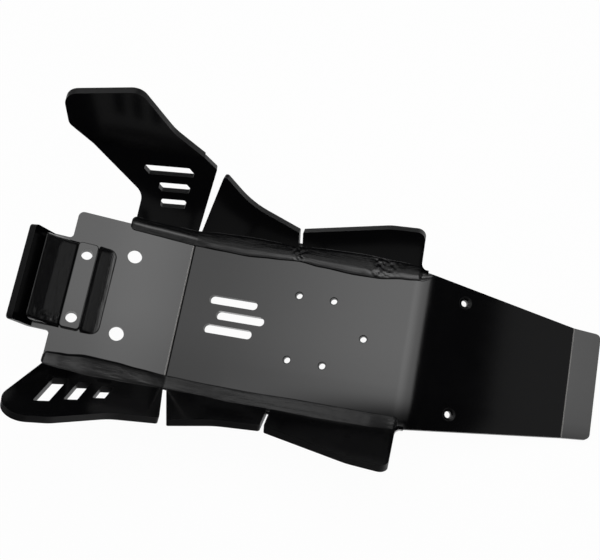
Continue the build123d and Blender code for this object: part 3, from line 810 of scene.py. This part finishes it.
def even_cloth(radiance):
    """Grey cloth of a smaller screen, lit evenly."""
    material, tree = new_material("Dim screen cloth")
    light = add_node(tree, "ShaderNodeEmission", {"Strength": radiance})
    add_node(tree, "ShaderNodeOutputMaterial", {"Surface": light.outputs[0]})
    return material


def level_corners(along, across, height):
    """Corners of a level rectangle, from its reach along X and across Y."""
    (rear, front), (right, left) = along, across
    return [(rear, right, height), (front, right, height), (front, left, height), (rear, left, height)]


def upright_corners(along, across, heights):
    """Corners of an upright rectangle along X, from its reach along X and up Z."""
    (rear, front), (low, high) = along, heights
    return [(rear, across, low), (front, across, low), (front, across, high), (rear, across, high)]


def screen(name, corners, material):
    """A lit screen of the studio, in metres, which the camera looks through."""
    mesh = bpy.data.meshes.new(name)
    mesh.from_pydata(corners, [], [(0, 1, 2, 3)])
    mesh.materials.append(material)
    cloth = bpy.data.objects.new(name, mesh)
    cloth.visible_camera = False
    bpy.context.scene.collection.objects.link(cloth)
    return cloth


def table_card(name, corners, material):
    """A dark card on the table that only shows in the gloss of what leans over it."""
    card = screen(name, corners, material)
    card.visible_diffuse = False
    card.visible_shadow = False


def flag_cloth(colour):
    """Black cloth that stays a little above black."""
    material, tree = new_material("Black flag cloth")
    light = add_node(tree, "ShaderNodeEmission", {"Color": colour})
    add_node(tree, "ShaderNodeOutputMaterial", {"Surface": light.outputs[0]})
    return material


def black_flags(level, material):
    """Black cloth round and over the table, which the camera looks through into the white room."""
    bpy.ops.mesh.primitive_cube_add(size=FLAG_ROOM, location=(0, 0, level + FLAG_ROOM / 2 - FLAG_DROP))
    flags = bpy.context.object
    flags.name = "black_flags"
    flags.visible_camera = False
    flags.data.materials.append(material)


def seen_plainly(tree):
    """1 for a ray from the camera, also a mirrored one or one let through, and 0 for light on the plate."""
    path = add_node(tree, "ShaderNodeLightPath").outputs
    seen = path["Is Camera Ray"]
    for kind in ("Is Glossy Ray", "Is Transmission Ray"):
        seen = add_node(tree, "ShaderNodeMath", {0: seen, 1: path[kind]}, operation="MAXIMUM").outputs[0]
    return seen


def floor_paint(colour):
    """Pale matt paint that is seen as plain white but for the plate's shadow, and is clear from below."""
    material, tree = new_material("Painted studio floor")
    paint = add_node(tree, "ShaderNodeBsdfDiffuse", {"Color": colour})
    white = add_node(tree, "ShaderNodeEmission", {"Color": (1, 1, 1, 1), "Strength": 1.0})
    share = add_node(tree, "ShaderNodeMath", {0: seen_plainly(tree), 1: FLOOR_WHITE}, operation="MULTIPLY")
    mix = add_node(tree, "ShaderNodeMixShader", {
        0: share.outputs[0], 1: paint.outputs[0], 2: white.outputs[0]})
    below = add_node(tree, "ShaderNodeNewGeometry")
    glass = add_node(tree, "ShaderNodeBsdfTransparent")
    one_way = add_node(tree, "ShaderNodeMixShader", {
        0: below.outputs["Backfacing"], 1: mix.outputs[0], 2: glass.outputs[0]})
    add_node(tree, "ShaderNodeOutputMaterial", {"Surface": one_way.outputs[0]})
    return material


def white_room(colour):
    """A room that is seen as white, and lights the plate only as the black cloth does."""
    world = bpy.data.worlds.new("White room")
    world.use_nodes = True
    tree = world.node_tree
    shade = add_node(tree, "ShaderNodeMix", {"Factor": seen_plainly(tree), 6: colour, 7: (1, 1, 1, 1)},
                     data_type="RGBA")
    tree.links.new(shade.outputs[2], tree.nodes["Background"].inputs["Color"])
    return world


class OBJECT_OT_plate_studio(bpy.types.Operator):
    """Set the pale floor, the white room, the black cloth, the screens, the cards and the camera"""
    bl_idname = "object.plate_studio"
    bl_label = "Studio"

    def execute(self, context):
        studio = context.scene.studio_sizes
        level = CAD_BOX[0][2]
        paint = floor_paint(studio.floor_colour)
        bpy.ops.mesh.primitive_circle_add(
            vertices=96, radius=studio.floor_radius, fill_type="NGON", location=(0, 0, level - FLOOR_DROP))
        floor = context.object
        floor.name = "studio_floor"
        floor.data.materials.append(paint)
        context.scene.world = white_room(studio.flag_colour)
        dark = flag_cloth(studio.flag_colour)
        black_flags(level, dark)
        top = studio.lamp_height
        screen("big_softbox", level_corners(BOX_ALONG, BOX_ACROSS, top), softbox_cloth())
        for name, along, across, radiance in OVERHEAD_SCREENS:
            screen(name, level_corners(along, across, top), even_cloth(radiance))
        for name, along, across, heights, share in SIDE_SCREENS:
            screen(name, upright_corners(along, across, heights), even_cloth(share * studio.side_radiance))
        for name, along, across in TABLE_CARDS:
            table_card(name, level_corners(along, across, level + CARD_LIFT), dark)
        camera()
        context.scene.view_settings.view_transform = "Standard"
        return {"FINISHED"}


class VIEW3D_PT_skid_plate(bpy.types.Panel):
    """Colours, sizes and steps of the skid plate"""
    bl_label = "Skid plate"
    bl_space_type = "VIEW_3D"
    bl_region_type = "UI"
    bl_category = "Skid plate"

    def draw(self, context):
        for group in (getattr(context.scene, name) for name in GROUPS):
            for name in group.__annotations__:
                self.layout.prop(group, name)
        for operator in OPERATORS:
            self.layout.operator(operator.bl_idname)


OPERATORS = (OBJECT_OT_skid_sheet, OBJECT_OT_clamp_strip, OBJECT_OT_weld_beads, OBJECT_OT_plate_studio)
GROUPS = {"plastic_finish": PlasticFinish, "bead_sizes": BeadSizes, "studio_sizes": StudioSizes}
CLASSES = (*GROUPS.values(), *OPERATORS, VIEW3D_PT_skid_plate)


def register():
    """Registers the classes, and gives the scene its properties."""
    for cls in CLASSES:
        bpy.utils.register_class(cls)
    for name, group in GROUPS.items():
        setattr(bpy.types.Scene, name, bpy.props.PointerProperty(type=group))


def unregister():
    """Takes the properties and the classes away again."""
    for name in GROUPS:
        delattr(bpy.types.Scene, name)
    for cls in reversed(CLASSES):
        bpy.utils.unregister_class(cls)


def main():
    """Builds the pieces and the stage in order."""
    register()
    bpy.ops.object.skid_sheet()
    bpy.ops.object.clamp_strip()
    bpy.ops.object.weld_beads()
    bpy.ops.object.plate_studio()


if __name__ == "__main__":
    main()
